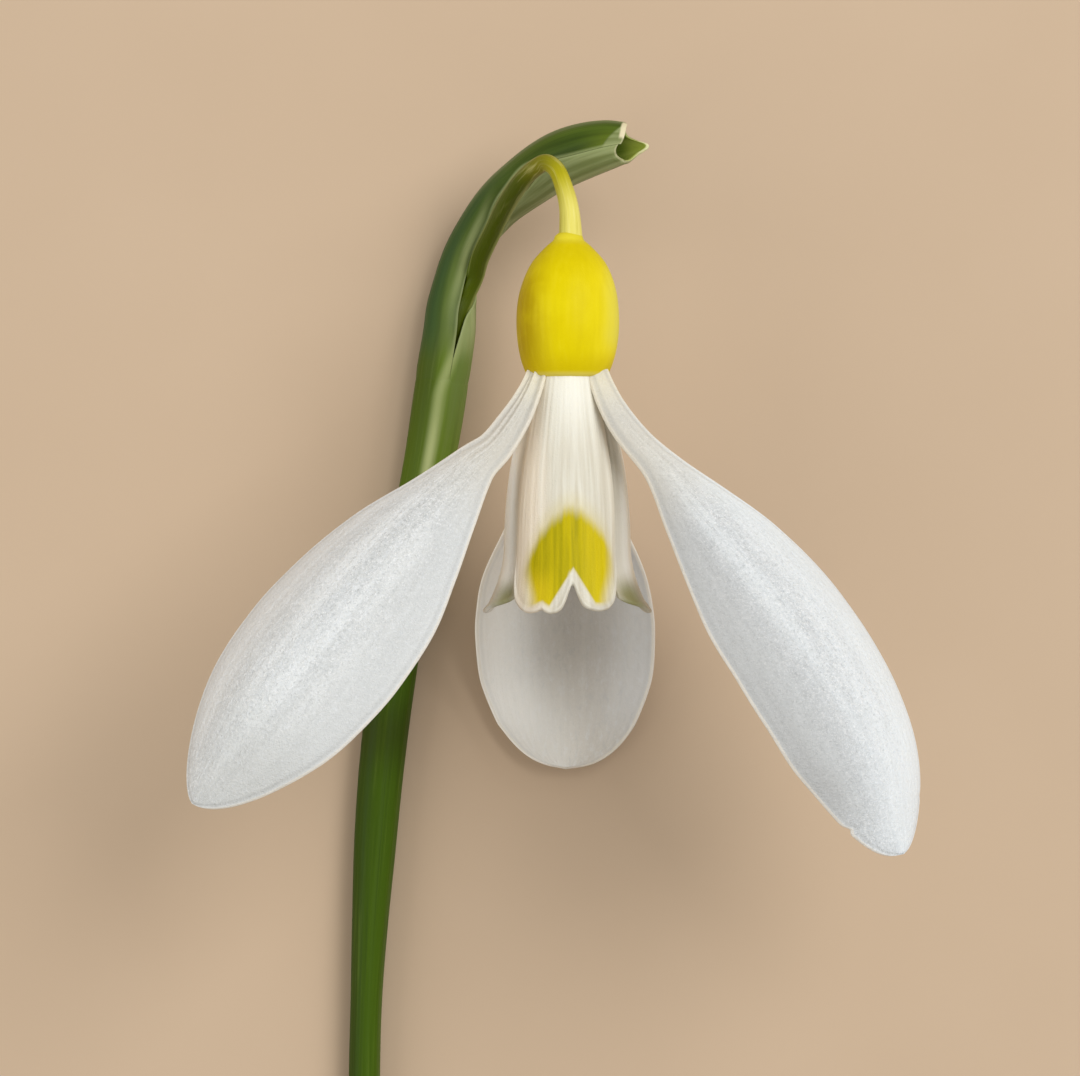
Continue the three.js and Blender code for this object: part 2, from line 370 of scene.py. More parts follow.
def rod(board):
    """A closed rod, and where its points are: across it, between its two faces and along it."""
    sockets = {"Vertices": board.inputs["Sides"], "Side Segments": board.inputs["Rows"]}
    sockets |= {"Fill Segments": 24, "Radius": 1.0, "Depth": 1.0}
    mesh = board.node("GeometryNodeMeshCylinder", {"fill_type": "TRIANGLE_FAN"}, sockets, "Mesh")
    x, y, z = board.split(board.node("GeometryNodeInputPosition"))
    mesh = keep(board, mesh, across=x, face=y, along=z + 0.5)
    return mesh, *(kept(board, name) for name in ("across", "face", "along"))


def flattened(face):
    """Pushes the rod's face value towards -1 and 1, so that its round section becomes a sheet's."""
    return face.sign() * face.size() ** 0.4


def move(board, geometry, place):
    return board.node("GeometryNodeSetPosition", sockets={"Geometry": geometry, "Position": place})


def walk(board, factor, *numbers):
    """The place, the two directions square to the path and any carried numbers, at a share of the path."""
    line = board.node("GeometryNodeMeshToCurve", sockets={"Mesh": board.inputs["Skeleton"]})

    def sample(name=None):
        sockets = {"Curves": line, "Factor": factor}
        if name:
            sockets["Value"] = kept(board, name)
        return board.node("GeometryNodeSampleCurve", {"mode": "FACTOR"}, sockets, "Value")

    here = sample()
    side = here.of("Tangent").cross(board.vector(z=1.0)).unit()
    up = side.cross(here.of("Tangent")).unit()
    return here.of("Position"), side, up, *(sample(name) for name in numbers)


# %% Growing a tree on a skeleton
SAME_SPOT = 1e-5  # mm between points that are one
NO_LENGTH = 1e-6  # mm along an edge that is none
SHARP = math.radians(60)


def grow(name, board, bones, material, **inputs):
    """Runs a tree on a skeleton, and gives back a plain object in the model's place."""
    thing = bpy.data.objects.new(name, bones)
    scene.collection.objects.link(thing)
    modifier = thing.modifiers.new("growth", "NODES")
    modifier.node_group = board.tree
    for item in board.tree.interface.items_tree:
        if item.in_out == "INPUT" and item.name in inputs:
            modifier[item.identifier] = inputs[item.name]
        if item.name == "Material":
            modifier[item.identifier] = material
    depsgraph = bpy.context.evaluated_depsgraph_get()
    grown = thing.evaluated_get(depsgraph)
    plain = bpy.data.meshes.new_from_object(grown, preserve_all_data_layers=True, depsgraph=depsgraph)
    thing.modifiers.clear()
    thing.data = plain
    return settle(thing)


def settle(thing):
    """Merges doubles, turns the faces outward and moves the mesh to the model's place."""
    mesh = thing.data
    shape = bmesh.new()
    shape.from_mesh(mesh)
    bmesh.ops.remove_doubles(shape, verts=shape.verts, dist=SAME_SPOT)
    bmesh.ops.dissolve_degenerate(shape, edges=shape.edges, dist=NO_LENGTH)
    bmesh.ops.recalc_face_normals(shape, faces=shape.faces)
    open_edges = sum(not edge.is_manifold for edge in shape.edges)
    shape.to_mesh(mesh)
    shape.free()
    mesh.transform(to_model)
    mesh.set_sharp_from_angle(angle=SHARP)
    print(f"{thing.name}: {len(mesh.polygons)} faces, {open_edges} open edges")
    return thing


def stand_for(thing, slot, *nodes):
    """Ties a finished piece to the model, and prints how its box compares with its CAD nodes'."""
    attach(thing, "root")
    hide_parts(*nodes)
    places = np.empty(3 * len(thing.data.vertices), np.float32)
    thing.data.vertices.foreach_get("co", places)
    places = places.reshape(-1, 3)
    boxes = [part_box(node) for node in nodes]
    low = places.min(0) - np.min([box[0] for box in boxes], axis=0)
    high = places.max(0) - np.max([box[1] for box in boxes], axis=0)
    print(f"{thing.name}: past its CAD box by {np.round(-MM * low, 2)} and {np.round(MM * high, 2)} mm")


# %% [markdown]
# ## Paint
#
# Plant surfaces are never one colour. Every finish below starts from colours mixed by where a point is on
# its part, is broken up by noise at two or three scales, and takes its gloss and its fine relief from the
# same noise. Places come from the numbers that the trees left on the points, so veins and stripes follow
# the petals, and from the object's own coordinates where the pattern has no direction. Some tints also
# paint light and shade into the colour, and each is marked where it is painted.

# %% Colours and finishes


def colour(code):
    """A web colour, such as "#dadad7", as the linear colour that shaders work in."""
    shares = [int(code[i:i + 2], 16) / 255 for i in (1, 3, 5)]
    return tuple(s / 12.92 if s <= 0.04045 else ((s + 0.055) / 1.055) ** 2.4 for s in shares) + (1.0,)


class Finish(Board):
    """A material under construction."""

    def __init__(self, name):
        self.material = bpy.data.materials.new(name)
        self.material.use_nodes = True
        super().__init__(self.material.node_tree)
        self.tree.nodes.clear()
        place = self.node("ShaderNodeTexCoord", out="Object")
        self.place = (place - tuple(foot)) * MM

    def numbers(self, *names):
        """Numbers that a tree left on the points."""
        return [self.node("ShaderNodeAttribute", {"attribute_name": name}, out="Fac") for name in names]

    def mix(self, share, first, second):
        """From the first colour to the second. Each is a web colour or a node's output."""
        first, second = (colour(tone) if isinstance(tone, str) else tone for tone in (first, second))
        return self.node("ShaderNodeMix", {"data_type": "RGBA"}, {0: share, 6: first, 7: second}, out=2)

    def tint(self, base, *layers):
        """Paints layers over a base in turn. Each is how much of it shows, from 0 to 1, and its colour."""
        for share, tone in layers:
            base = self.mix(share, base, tone)
        return base

    def close(self, base, roughness, relief, height=0.03, **constants):
        """The shader itself. relief is a height in millimetres, from -1 to 1 times height."""
        bump = self.node("ShaderNodeBump", sockets={"Height": relief, "Distance": height / MM})
        sockets = {"Base Color": base, "Roughness": roughness, "Normal": bump}
        sockets |= {name.replace("_", " "): value for name, value in constants.items()}
        shader = self.node("ShaderNodeBsdfPrincipled", sockets=sockets)
        self.node("ShaderNodeOutputMaterial", sockets={"Surface": shader})
        return self.material


# %% [markdown]
# ## The surface it lies on
#
# A plain sheet of pale, warm paper. It is only the stage, so it gets little more than a faint mottle.

# %% Table top
paper = Finish("table_paper")
mottle = paper.noise(paper.place, 0.05, 4.0)
paper.close(paper.mix(mottle, "#bda488", "#c6ae93"), mottle * 0.1 + 0.75, mottle, 0.02)
half = 2.0  # metres
corners = [(-half, -half, 0), (half, -half, 0), (half, half, 0), (-half, half, 0)]
floor_mesh = bpy.data.meshes.new("table")
floor_mesh.from_pydata(corners, [], [(0, 1, 2, 3)])
floor_mesh.materials.append(paper.material)
table = bpy.data.objects.new("table", floor_mesh)
scene.collection.objects.link(table)

# %% [markdown]
# ## The stem and the flower's stalk
#
# Both are stalks: an oval section carried along a path. The stem lies flat on the table, from its cut end
# up into the sheath, and swells on the way. The thin stalk starts in the sheath, climbs out and arches
# over to the seed case. Geometry Nodes suit them, because one rule makes both. The same rule can
# hollow the rod's ends: a cut stem's pith dries first and sinks a little inside its green skin.

# %% The stalk tree
stalk = new_tree("stalk", Sides=64, Rows=200, Ribs=9, RibHeight=0.02, Dish=0.0)
flesh, stalk_x, stalk_y, t = rod(stalk)
stalk_inside = (stalk_x * stalk_x + stalk_y * stalk_y) ** 0.5
flesh = keep(stalk, flesh, inside=stalk_inside)
place, side, up, half_width, half_depth = walk(stalk, t, "half_width", "half_depth")
stalk_turn = stalk_y.sum("ARCTAN2", stalk_y, stalk_x)
rib = (stalk_turn * stalk.inputs["Ribs"]).cosine() * stalk.inputs["RibHeight"] * stalk_inside
hollow = side.cross(up) * ((1 - stalk_inside) * stalk.inputs["Dish"])
place = place + side * (stalk_x * (half_width + rib)) + up * (stalk_y * (half_depth + rib)) + hollow
close_tree(stalk, move(stalk, flesh, place))

# %% Green that the stem and the sheath share


def stem_green(finish, across, y):
    """The stem's green: painted shade darkens its left side, and a pale stripe, a painted highlight, leans
    over to the slit at its top.
    """
    streaks = finish.noise((across * 6.0, y * 0.12, 0.0), 1.0, 3.0)
    # painted shade: the left side is darker
    base = finish.mix(across.ramp(0.35, -0.6), "#6f882b", "#4e630f")
    base = finish.tint(
        base,
        (streaks.ramp(0.5, 0.72) * 0.3, "#7f9048"),
        (streaks.ramp(0.48, 0.25) * 0.3, "#3c500a"),
        # near the sheath the right side turns paler and greyer, and painted shade darkens the left further
        (across.ramp(0.1, 0.6) * y.ramp(-5.0, -0.5) * 0.5, "#6f7f4a"),
        (across.ramp(0.0, -0.5) * y.ramp(-5.0, 0.5) * 0.5, "#3d4a12"),
    )
    # painted highlight: a pale stripe along the upper stem
    stripe = (across - y.ramp(-1.0, 1.7) * 0.3).bump_at(0.0, 0.36)
    return finish.tint(base, (stripe * y.ramp(-16.0, -4.0) * (y.ramp(-1.0, -4.0) * 0.32 + 0.58), "#bcc589"))


# %% Green of the stem
stem_paint = Finish("scape_green")
_, y, z = stem_paint.split(stem_paint.place)
across, inside = stem_paint.numbers("across", "inside")
fine = stem_paint.noise(stem_paint.place * (9.0, 1.2, 9.0), 1.0, 3.0)
streaks = stem_paint.noise((across * 9.0, y * 0.12, z), 1.0, 3.0)
low_green = stem_paint.mix(across.ramp(0.35, -0.75), "#3e5704", "#304500")
low_green = stem_paint.tint(
    low_green,
    (streaks.ramp(0.52, 0.75) * 0.4, "#5c7222"),
    (streaks.ramp(0.48, 0.25) * 0.4, "#243900"),
    # painted shadow: the left petal's shadow across the stem
    (y.bump_at(-18.5, 3.0) * 0.6, "#2c3600"),
)
base = stem_paint.mix(y.ramp(-9.0, -15.0), stem_green(stem_paint, across, y), low_green)
vessels = stem_paint.noise(stem_paint.place, 4.5, 1.0)
pith = stem_paint.mix(vessels.ramp(0.55, 0.68), "#9bab68", "#6c8038")
base = stem_paint.mix(inside.ramp(0.97, 0.86), base, pith)
stem_paint.close(base, fine * 0.15 + 0.36, streaks * 0.6 + fine * 0.4, 0.04, Specular_IOR_Level=0.12)

# %% Stem
stem_path = smooth_path([
    (-10.4, -52, 0), (-10.6, -36, 0), (-10.1, -25.2, 0), (-9.5, -18.5, 0),
    (-8.2, -9.5, 0), (-7.0, -3.2, 0), (-6.45, 0.4, 0), (-6.15, 2.4, 0),
], 300)
share = np.linspace(0, 1, 300)
stem_width = along(
    0.85, 0.84, 0.84, 0.83, 0.82, 0.83, 0.95, 1.1, 1.18, 1.22, 1.25, 1.26, 1.31, 1.39, 1.36)(share)
stem_depth = along(
    0.95, 0.95, 0.95, 1.0, 1.05, 1.1, 1.15, 1.18, 1.2, 1.22, 1.24, 1.26, 1.31, 1.39, 1.36)(share)
taper = 0.6 * ease(share, 0.95, 1.0)  # the stem's last part narrows inside the sheath
stem_width -= taper
stem_depth -= taper
held_up = np.where(share < 0.93, stem_depth, np.maximum(stem_depth, 1.38))
stem_path[:, 2] = floor_z + 0.03 + held_up  # just clear of the table
stem_bones = skeleton("stem", stem_path, half_width=stem_width, half_depth=stem_depth)
stem = grow("green_stem", stalk, stem_bones, stem_paint.material, Rows=260, RibHeight=0.012, Dish=-0.25)
stand_for(stem, "scape_green", "scape")

# %% Green and yellow of the flower's stalk
pedicel_paint = Finish("pedicel_green_yellow")
across, along_it, face = pedicel_paint.numbers("across", "along", "face")
streaks = pedicel_paint.noise((across * 4.0, along_it * 9.0, face * 4.0), 1.0, 3.0)
# edge: near either side of the stalk, where a highlight is painted
edge = across.size().ramp(0.72, 0.98)
base = pedicel_paint.mix(along_it.ramp(0.62, 0.78), "#475403", "#7c7a10")
base = pedicel_paint.tint(
    base,
    (along_it.ramp(0.76, 0.86), "#b3aa14"),
    (along_it.ramp(0.83, 0.93), "#ddd266"),
    # painted shade: the yellow part darker along its right side
    (across.ramp(0.1, 0.9) * along_it.ramp(0.75, 0.85) * 0.35, "#8a8a10"),
    # painted highlight: paler rims along both sides of the green part
    (edge * along_it.ramp(0.75, 0.6) * 0.7, "#8f9850"),
    (streaks.ramp(0.5, 0.75) * along_it.ramp(0.4, 0.8) * 0.4, "#efe8a0"),
    (streaks.ramp(0.48, 0.25) * along_it.ramp(0.6, 0.9) * 0.3, "#8d7f12"),
)
pedicel_paint.close(base, streaks * 0.15 + 0.34, streaks, 0.04, Specular_IOR_Level=0.12)

# %% Flower's stalk
pedicel_path = path_above_floor([
    (-6.1, 1.2, 1.7), (-5.86, 2.4, 1.9), (-5.68, 3.4, 1.9), (-5.26, 4.4, 1.85), (-4.8, 5.3, 2.15),
    (-4.5, 6.3, 3.15), (-3.85, 7.55, 5.0), (-3.06, 8.93, 7.6), (-2.28, 9.9, 9.8), (-1.57, 10.46, 11.2),
    (-1.0, 10.61, 12.2), (-0.51, 10.18, 12.9), (-0.16, 9.3, 13.5), (0.1, 8.2, 13.9), (0.2, 6.4, 14.05),
], 260)
share = np.linspace(0, 1, 260)
pedicel_width = along(0.46, 0.53, 0.45, 0.49, 0.475, 0.495, 0.49, 0.455, 0.43, 0.475, 0.6)(share)
pedicel_bones = skeleton("pedicel", pedicel_path, half_width=pedicel_width, half_depth=pedicel_width)
pedicel = grow("flower_stalk", stalk, pedicel_bones, pedicel_paint.material,
               Rows=240, Ribs=3, RibHeight=0.015)
stand_for(pedicel, "pedicel_green_yellow", "pedicel")

# %% [markdown]
# ## The seed case
#
# The ovary is an egg with a flat foot and a small collar, smooth and waxy. A lathe would make it perfectly
# round, but a real one has three rooms inside and shows them as three very soft ribs. So its rings are
# worked out in numbers: an outline, turned around the axis, with a slight wave added to each ring.

# %% A skin over rings


def turned(radius, height, turn):
    """Rings around the flower's axis, shaped (rows, sides, 3)."""
    across, deep = radius * np.sin(turn), radius * np.cos(turn)
    return np.stack([across, np.broadcast_to(height, across.shape), deep], 2)


def loft(name, rings, material):
    """A closed solid from rings of places."""
    rows, sides, _ = rings.shape
    hubs = rings[[0, -1]].mean(axis=1)
    places = np.vstack([rings.reshape(-1, 3), hubs])
    first, last = rows * sides, rows * sides + 1
    faces = []
    for i in range(sides):
        j = (i + 1) % sides
        faces += [(first, j, i), (last, (rows - 1) * sides + i, (rows - 1) * sides + j)]
        faces += [(r + i, r + j, r + sides + j, r + sides + i) for r in range(0, (rows - 1) * sides, sides)]
    mesh = bpy.data.meshes.new(name)
    mesh.from_pydata(places.tolist(), [], faces)
    mesh.materials.append(material)
    mesh.shade_smooth()
    thing = bpy.data.objects.new(name, mesh)
    scene.collection.objects.link(thing)
    return settle(thing)


# %% Yellow of the seed case
ovary_paint = Finish("ovary_yellow")
x, y, z = ovary_paint.split(ovary_paint.place)
cloud = ovary_paint.noise(ovary_paint.place, 0.5, 3.0)
skin = ovary_paint.noise(ovary_paint.place * (5.0, 1.6, 5.0), 1.0, 4.0)
pores = ovary_paint.noise(ovary_paint.place, 14.0, 2.0)
strands = ovary_paint.noise((x * 3.0, y * 0.2, z * 3.0), 1.0, 1.0)
# painted shade: the left side darker
base = ovary_paint.mix(x.ramp(-2.4, -0.5), "#ab9000", "#d8c400")
base = ovary_paint.tint(
    base,
    # painted light: the right side lighter, with a painted highlight along its right shoulder
    (x.ramp(0.6, 2.3) * 0.7, "#ecd924"),
    (x.ramp(1.5, 2.5) * y.ramp(0.5, 2.0) * 0.6, "#dcd660"),
    (cloud.ramp(0.45, 0.7) * 0.3, "#e6d510"),
    (strands.ramp(0.5, 0.3) * 0.1, "#bda600"),
    (strands.ramp(0.5, 0.7) * 0.1, "#f0de30"),
    (y.ramp(1.2, 0.1) * 0.5, "#c4aa00"),
    (y.ramp(4.3, 6.0) * 0.35, "#c4b000"),
    (y.ramp(6.25, 6.65) * 0.6, "#ddd03c"),
    (y.ramp(0.05, -0.2) * 0.4, "#dccf78"),
)
relief = skin * 0.5 + pores * 0.5
ovary_paint.close(base, pores * 0.1 + 0.38, relief, 0.02, Specular_IOR_Level=0.07)

# %% Seed case
outline = smooth_path([
    (1.6, -0.35, 0), (1.95, -0.2, 0), (2.14, 0.1, 0), (2.42, 1.0, 0), (2.57, 2.4, 0), (2.42, 4.0, 0),
    (1.88, 5.4, 0), (1.1, 6.3, 0), (0.76, 6.6, 0), (0.68, 6.8, 0), (0.5, 6.95, 0),
], 150)
turn = np.linspace(0, 2 * math.pi, 160, endpoint=False)
belly = ease(outline[:, 1], -0.3, 2) * ease(outline[:, 1], 6.6, 4.5)
radius = outline[:, :1] * (1 + 0.012 * belly[:, None] * np.cos(3 * turn + 0.9))
rings = turned(radius, outline[:, 1:2], turn)
rings[:, :, 0] += 0.07 * ease(outline[:, 1:2], 3, 6.5)  # its top leans a little to the right
ovary = loft("seed_case", rings, ovary_paint.material)
stand_for(ovary, "ovary_yellow", "ovary")

# %% [markdown]
# ## The long petals
#
# Three spoon-shaped blades on narrow claws. Each bends along a path, is arched across it and tilts on the
# way. The two halves of a blade are never quite alike, so each has its own width. One tree makes all
# three: it carries the arched section along the skeleton and adds folds and a groove at the claw, fine
# lengthwise veins, a soft unevenness and a thin bead around the rim. Its rows crowd towards the tip,
# where the outline bends most.

# %% The blade tree
blade = new_tree("blade", Sides=220, Rows=170, Thickness=0.34, Veins=17.0, VeinHeight=0.008,
                 FoldHeight=0.07, Groove=0.0, GrooveAt=0.2, Bead=0.07, Unevenness=0.14, Seed=0.0)
flesh, v, face, t = rod(blade)
u = 1 - (1 - t) ** 1.5
place, side, up, tilt, arch, right_half, left_half, fold = walk(
    blade, u, "tilt", "arch", "right_half", "left_half", "fold")
outward = up * tilt.cosine() + side * tilt.sine()
wide = side * tilt.cosine() - up * tilt.sine()
half = left_half + (right_half - left_half) * v.above(0.0)
radius = ((right_half + left_half) / 2).at_least(0.03) / arch
turn = v * half / radius
normal = outward * turn.cosine() + wide * turn.sine()
flat = blade.vector(v * half, u * 28.0, blade.inputs["Seed"])
rim = (1 - v.size()) * half
veins = (v * blade.inputs["Veins"] * math.pi + blade.noise(flat, 0.35) * 2.5).cosine()
folds = (v * 6.3 + blade.inputs["Seed"]).sine() * fold * blade.inputs["FoldHeight"]
uneven = (blade.noise(flat, 0.28, 2.0) - 0.5) * blade.inputs["Unevenness"] * rim.ramp(0.0, 1.5)
bead = (rim.bump_at(0.1, 0.14) - rim.bump_at(0.34, 0.2) * 0.6) * blade.inputs["Bead"]
groove = (v - blade.inputs["GrooveAt"]).bump_at(0.0, 0.22) * blade.inputs["Groove"] * fold
relief = veins * blade.inputs["VeinHeight"] * rim.ramp(0.2, 1.0) + folds + uneven - groove
thick = blade.inputs["Thickness"] * (0.75 + 0.6 * (0.3 - u).ramp(0.0, 0.3))
skin_out = (flattened(face) - 1) * thick / 2 + relief + bead * face
place = place + normal * (radius + skin_out) - outward * radius
flesh = keep(blade, flesh, share=u, rim=rim, width=v * half)
close_tree(blade, move(blade, flesh, place))

# %% White of the long petals


def petal_paint(name, plain, pale, left_shading, right_shading, tip_shading, highlight_band_at, glitter=1.0, bowl_shadow=0.0):
    """Matt white with silvery cells between lengthwise veins, and a warmer rim and claw.

    highlight_band_at is where, across the petal, its painted highlight band runs. glitter is how strongly the
    grain and the specks show, as relief and as painted sparkle, and bowl_shadow is how dark the painted
    shadow of the cup lies in the hollow of the lowest petal. left_shading, right_shading and tip_shading are
    painted light and shade on the two sides and towards the tip. Bands and painted side shading fade out
    before the tip.
    """
    finish = Finish(name)
    share, rim, width, across, face = finish.numbers("share", "rim", "width", "across", "face")
    strands = finish.noise((across * 5.0 + width * 0.8, share * 2.2, face), 2.2, 4.0, 0.6)
    bands = finish.noise((across * 3.4, share * 1.6, 3.0), 1.0, 3.0)
    cells = finish.noise((width * 2.2, share * 24.0, face), 1.6, 3.0, 0.6)
    grain = finish.noise(finish.place, 6.5, 3.0, 0.75)
    specks = finish.noise(finish.place, 15.0, 1.0)
    near_claw = share.ramp(0.55, 0.12)
    before_tip = share.ramp(1.0, 0.84)
    # hollow: where the painted shadow of the cup lies on the lowest petal
    hollow = share.ramp(1.0, 0.68) * (across - 0.08).size().ramp(0.85, 0.05)
    base = finish.mix(bands.ramp(0.38, 0.62) * before_tip + (1 - before_tip) * 0.5, plain, pale)
    base = finish.tint(
        base,
        (strands.ramp(0.5, 0.28) * (near_claw * 0.35 + 0.2), "#a9acad"),
        (strands.ramp(0.55, 0.75) * (near_claw * 0.4 + 0.25), "#e4e7e8"),
        (cells.ramp(0.52, 0.7) * 0.35, "#e6e9eb"),
        (cells.ramp(0.47, 0.3) * 0.3, "#b0b4b6"),
        # painted highlight: a pale band along the petal
        (across.bump_at(highlight_band_at, 0.55) * share.ramp(0.3, 0.6) * before_tip * 0.28, "#eff6fa"),
        # fine grain and white specks, partly painted sparkle
        (grain.ramp(0.52, 0.68) * (0.5 * glitter), "#f4f6f8"),
        (grain.ramp(0.47, 0.32) * (0.45 * glitter), "#a4a7a9"),
        (specks.ramp(0.6, 0.72) * (0.6 * glitter), "#ffffff"),
        # painted light and shade: one side of the petal lighter, the other darker
        (across.ramp(0.05, 0.85) * before_tip * 0.7, right_shading),
        (across.ramp(-0.05, -0.85) * before_tip * 0.7, left_shading),
        (share.ramp(0.36, 0.14) * 0.6, "#d0c8b6"),
        (share.ramp(0.1, 0.02) * 0.8, "#e4deca"),
        # painted light and shade towards the tip
        (share.ramp(0.7, 0.92) * across.ramp(0.7, -0.3) * 0.5, tip_shading),
        # painted shadow of the cup in the hollow of the lowest petal
        (hollow * bowl_shadow, "#8a8175"),
        # painted shade: a grey line just inside the rolled rim
        (rim.bump_at(0.34, 0.2) * (0.25 - 0.2 * bowl_shadow), "#a5a6a4"),
        (rim.ramp(0.2, 0.1) * 0.45, "#efe4d0"),
    )
    relief = strands * 0.2 + cells * 0.25 + (grain * 0.5 + specks * 0.2) * glitter
    rough = grain * 0.25 + 0.42
    return finish.close(base, rough, relief, 0.13, Specular_IOR_Level=0.25, Subsurface_Weight=0.2,
                        Subsurface_Radius=(1.0, 0.95, 0.85), Subsurface_Scale=0.0005)


# After each petal's two whites come its painted shading for the left side, the right side and the tip, then
# where its painted highlight band runs.
left_white = petal_paint(
    "left_petal_white", "#c4c6c5", "#dadcdb", "#d3d5d4", "#dcdcda", "#c0c1bd", 0.0)
right_white = petal_paint(
    "right_petal_white", "#cbcfd1", "#d9dee0", "#f2fbff", "#a5a4a1", "#f2f9fd", -0.3)
back_white = petal_paint(
    "back_petal_white", "#d0cac0", "#dad5cb", "#fffaf0", "#cbcbca", "#fffdf6", -0.6,
    glitter=0.25, bowl_shadow=0.62)

# %% Skeletons of the long petals
petal_share = np.linspace(0, 1, SAMPLES)


def tapered(half_width, bluntness, shoulder=0.62):
    """Closes a half width almost to nothing in a rounded tip, from the shoulder on."""
    beyond = np.clip((petal_share - shoulder) / (1 - shoulder), 0, 1)
    return np.maximum(half_width(petal_share) * (1 - beyond ** 2) ** bluntness, 0.02)


def long_petal(name, node, paint, points, tilt, right_half, left_half, bluntness, nick=None, **inputs):
    """tilt is in degrees around the path. nick is where, along its right edge, a petal is torn a little."""
    right = tapered(right_half, bluntness)
    left = tapered(left_half, bluntness)
    if nick:
        depth, width = 0.22, 0.006
        right -= depth * np.exp(-(((petal_share - nick) / width) ** 2))
    bones = skeleton(
        name, smooth_path(points, SAMPLES), tilt=np.radians(tilt(petal_share)),
        arch=np.radians(along(24, 30, 38, 38, 30)(petal_share)), right_half=right, left_half=left,
        fold=ease(petal_share, 0.3, 0.08),
    )
    petal = grow(name, blade, bones, paint, **inputs)
    stand_for(petal, "outer_petal_white", node)


# %% Long petals
long_petal(
    "left_petal", "outer_petal_left", left_white,
    [(-1.55, 0.1, 1.2), (-1.95, -0.9, 1.85), (-2.4, -1.8, 2.35), (-2.98, -2.7, 2.75), (-3.75, -3.65, 3.05),
     (-4.85, -4.5, 3.4), (-8.48, -8.22, 4.7), (-11.85, -12.22, 5.7), (-15.27, -16.57, 5.8),
     (-18.4, -21.35, 4.8)],
    along(30, 32, 32, 30, 30),
    along(0.62, 0.93, 1.14, 2.0, 3.52, 4.65, 5.15, 5.2, 5.2, 5.03, 4.83),
    along(0.62, 0.93, 1.4, 2.62, 3.85, 4.8, 5.15, 5.2, 5.2, 4.85, 4.4), 0.55, Seed=1.0, Groove=0.16)
long_petal(
    "right_petal", "outer_petal_right", right_white,
    [(1.6, 0.1, 1.2), (1.94, -0.8, 1.7), (2.3, -1.6, 2.1), (2.85, -2.5, 2.5), (3.55, -3.35, 2.85),
     (5.05, -4.8, 3.2), (8.75, -8.6, 4.7), (12.2, -12.95, 5.7), (14.95, -17.9, 5.8), (16.45, -23.8, 4.8)],
    along(-25, -36, -43, -43, -42),
    along(0.75, 0.93, 1.3, 2.6, 3.86, 4.85, 5.16, 5.25, 5.36, 4.95, 4.35),
    along(0.6, 0.88, 1.06, 2.1, 3.6, 4.75, 5.25, 5.2, 5.08, 5.36, 5.25), 0.46, nick=0.93, Seed=4.0,
    FoldHeight=0.02)
long_petal(
    "back_petal", "outer_petal_back", back_white,
    [(0, -0.05, -1.85), (0, -0.6, -2.2), (-0.05, -2.5, -3.6), (-0.1, -5, -5.9), (-0.1, -8, -9),
     (-0.05, -12, -12.25), (0.05, -15.7, -13.93), (0.05, -18.4, -13.75), (0, -20.45, -12.85)],
    along(180, 180, 180),
    along(0.7, 1.0, 1.5, 2.5, 3.65, 4.6, 5.04, 5.15, 5.25, 5.2, 5.2),
    along(0.7, 1.0, 1.5, 2.5, 3.6, 4.7, 5.12, 5.25, 5.35, 5.35, 5.4), 0.36, Seed=7.0, Unevenness=0.06,
    Bead=0.015)

# %% [markdown]
# ## Sheets wrapped around a path
#
# The cup's three petals are wrapped around the flower's axis, and the sheath around its own bent path.
# Both are one idea: a sheet that covers the angles between two edges, at a radius that changes on the way,
# and ends sooner in some places than in others. So one tree makes all four. The skeleton carries the
# radius and the two edge angles along the path. It also carries rows of numbers that are read across the
# sheet: how far each strand reaches, how far it is lifted from the others, and how its end slants.

# %% The wrapped sheet tree
wrap = new_tree("wrapped_sheet", Sides=260, Rows=150, Thickness=0.3, Length=12.0, Flutes=10.0,
                FluteDepth=0.04, Bead=0.1, BeadWidth=0.4, Seed=0.0)
flesh, v, face, t = rod(wrap)
u = 1 - (1 - t) ** 2.0
_, _, _, strand_reach, strand_lift, slant = walk(wrap, v / 2 + 0.5, "reach", "lift", "slant")
down = u * strand_reach
place, side, up, radius, first_edge, last_edge, lift_share = walk(
    wrap, down, "radius", "first_edge", "last_edge", "lift_share")
turn = first_edge + (last_edge - first_edge) * (v / 2 + 0.5)
outward = up * turn.cosine() + side * turn.sine()
to_end = (strand_reach - down) * wrap.inputs["Length"] * slant
flute = wrap.noise((turn * wrap.inputs["Flutes"], down * 1.3, wrap.inputs["Seed"]), 1.0, 1.0)
bead = to_end.ramp(wrap.inputs["BeadWidth"], 0.1) * wrap.inputs["Bead"]
closing = (1 - to_end / 0.18).at_least(0.0)  # the two faces round off and meet over these millimetres
closing = ((1 - closing ** 2.0) ** 0.5).at_least(0.06)
thick = (wrap.inputs["Thickness"] + bead * 2) * closing
skin_out = (flattened(face) * thick - wrap.inputs["Thickness"]) / 2
flute_out = (flute - 0.5) * 2 * wrap.inputs["FluteDepth"]
place = place + outward * (radius + strand_lift * lift_share + (skin_out + flute_out))
flesh = keep(wrap, flesh, turn=turn, down=down, to_end=to_end, flute=flute)
close_tree(wrap, move(wrap, flesh, place))

# %% [markdown]
# ## The cup
#
# The three inner petals are short, thick and fluted, and stand edge to edge, so they read as one cup. The
# front one is notched and carries the bright mark that guides insects. The mark is painted as one shape: a
# crown for its top, two soft sides, and a white margin that follows the rim and the notch, all inside a
# faint halo. The lobes of a rim are one row of numbers, the length of each strand across the petal.

